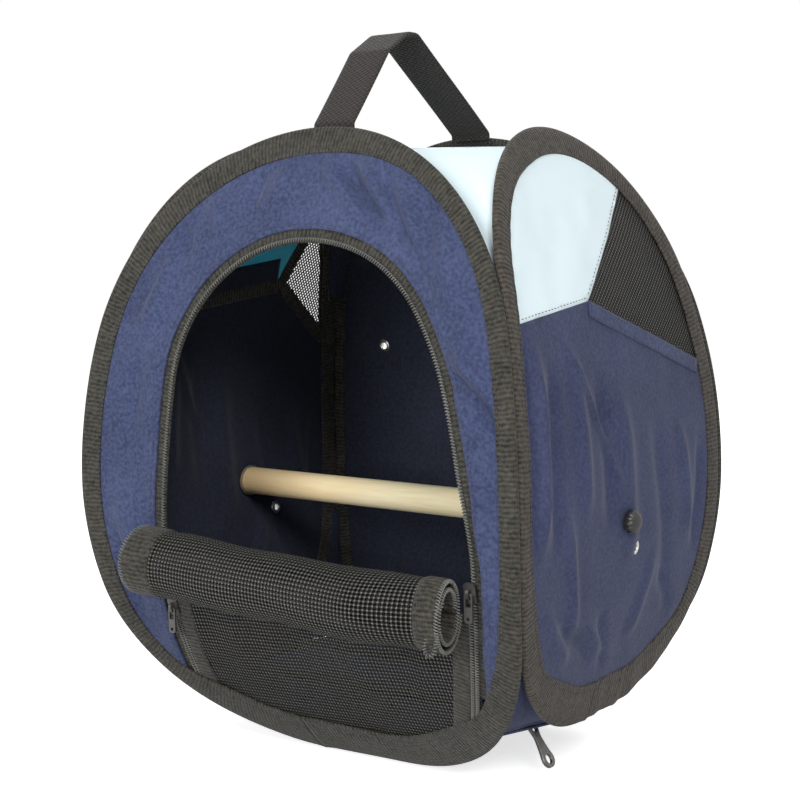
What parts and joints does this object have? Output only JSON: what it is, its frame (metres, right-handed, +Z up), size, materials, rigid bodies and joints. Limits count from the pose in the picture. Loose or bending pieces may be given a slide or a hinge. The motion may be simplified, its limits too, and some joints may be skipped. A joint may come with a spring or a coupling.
{
  "type": "bird travel carrier",
  "caption": "Soft pop-up carrier for a small bird: bowed fabric walls on spring hoops, arched zip door, net windows, wooden perch and a webbing handle.",
  "frame": {"origin": "on the ground under the middle of the whole carrier, rolled door included", "axes": "+Z up, the door faces -Y, +X to the carrier's right as seen from the door"},
  "size_m": [0.2822, 0.2598, 0.3799],
  "materials": {
    "navy_fabric": "matt woven polyester, navy",
    "pale_fabric": "matt woven polyester, pale blue",
    "binding_tape": "ribbed folded tape, dark grey",
    "black_net": "fine black mesh",
    "spring_steel": "flat spring steel",
    "zip_coil": "nylon coil",
    "zip_metal": "dark gunmetal",
    "webbing": "black woven webbing",
    "wood": "bare light hardwood",
    "knob_plastic": "moulded, satin",
    "screw_steel": "zinc plated",
    "nickel": "nickel plated"
  },
  "bodies": {
    "carrier": {"front_panel": "navy_fabric", "back_panel": "navy_fabric", "left_lower_panel": "navy_fabric", "right_lower_panel": "navy_fabric", "floor_rim": "navy_fabric", "corner_gussets": "navy_fabric", "left_upper_panel": "pale_fabric", "right_upper_panel": "pale_fabric", "roof": "pale_fabric", "front_binding": "binding_tape", "back_binding": "binding_tape", "left_binding": "binding_tape", "right_binding": "binding_tape", "door_zip_tape": "binding_tape", "door_side_tape": "binding_tape", "left_seam_tape": "binding_tape", "right_seam_tape": "binding_tape", "left_window_hem": "binding_tape", "right_window_hem": "binding_tape", "left_window_net": "black_net", "right_window_net": "black_net", "lower_door_net": "black_net", "front_hoop": "spring_steel", "back_hoop": "spring_steel", "left_hoop": "spring_steel", "right_hoop": "spring_steel", "door_zip_coil": "zip_coil", "lower_zip_coil": "zip_coil", "handle_ends": "webbing", "perch_dowel": "wood", "perch_washer_left": "screw_steel", "perch_washer_right": "screw_steel", "left_eyelet": "nickel", "right_eyelet": "nickel", "back_eyelet": "nickel"},
    "handle": {"handle_strap": "webbing"},
    "rolled_door": {"door_roll": "black_net", "door_roll_tape": "binding_tape"},
    "right_zip": {"right_slider": "zip_metal"},
    "right_tab": {"right_pull": "zip_metal"},
    "left_zip": {"left_slider": "zip_metal"},
    "left_tab": {"left_pull": "zip_metal"},
    "flap": {"floor_flap": "navy_fabric", "floor_zip_coil": "zip_coil"},
    "floor_zip": {"floor_slider": "zip_metal"},
    "floor_tab": {"floor_pull": "zip_metal"},
    "right_knob": {"perch_knob_right": "knob_plastic", "perch_screw_right": "screw_steel"},
    "left_knob": {"perch_knob_left": "knob_plastic", "perch_screw_left": "screw_steel"}
  },
  "joints": [
    {"name": "handle_lean", "type": "hinge", "parent": "carrier", "child": "handle", "pos_m": [0.004, 0.01692, 0.3315], "axis": [0, 1, 0], "range_deg": [-75, 75]},
    {"name": "rolled_door_tip", "type": "hinge", "parent": "carrier", "child": "rolled_door", "pos_m": [0.0055, -0.09358, 0.092], "axis": [0.9981, 0, -0.061], "range_deg": [0, 60]},
    {"name": "right_zip_slide", "type": "slide", "parent": "carrier", "child": "right_zip", "axis": [0.0764, -0.1768, 0.9813], "range_m": [0, 0.025]},
    {"name": "right_tab_turn", "type": "hinge", "parent": "right_zip", "child": "right_tab", "pos_m": [0.10791, -0.09378, 0.11186], "axis": [-1, 0, 0], "range_deg": [0, 150]},
    {"name": "left_zip_slide", "type": "slide", "parent": "carrier", "child": "left_zip", "axis": [0.0857, -0.3251, 0.9418], "range_m": [-0.02, 0]},
    {"name": "left_tab_turn", "type": "hinge", "parent": "left_zip", "child": "left_tab", "pos_m": [-0.08186, -0.08618, 0.08274], "axis": [-1, 0, 0], "range_deg": [0, 150]},
    {"name": "floor_flap_drop", "type": "hinge", "parent": "carrier", "child": "flap", "pos_m": [0, 0.04692, 0.0298], "axis": [1, 0, 0], "range_deg": [0, 85]},
    {"name": "floor_zip_slide", "type": "slide", "parent": "flap", "child": "floor_zip", "axis": [-1, 0, 0], "range_m": [0, 0.165]},
    {"name": "floor_tab_turn", "type": "hinge", "parent": "floor_zip", "child": "floor_tab", "pos_m": [0.091, -0.01078, 0.0265], "axis": [0, 1, 0], "range_deg": [-50, 110]},
    {"name": "right_knob_turn", "type": "hinge", "parent": "carrier", "child": "right_knob", "pos_m": [0, 0.02542, 0.1305], "axis": [0.9964, -0.0851, 0], "continuous": true},
    {"name": "left_knob_turn", "type": "hinge", "parent": "carrier", "child": "left_knob", "pos_m": [0, 0.02542, 0.1305], "axis": [-0.9964, 0.0851, 0], "continuous": true}
  ]
}
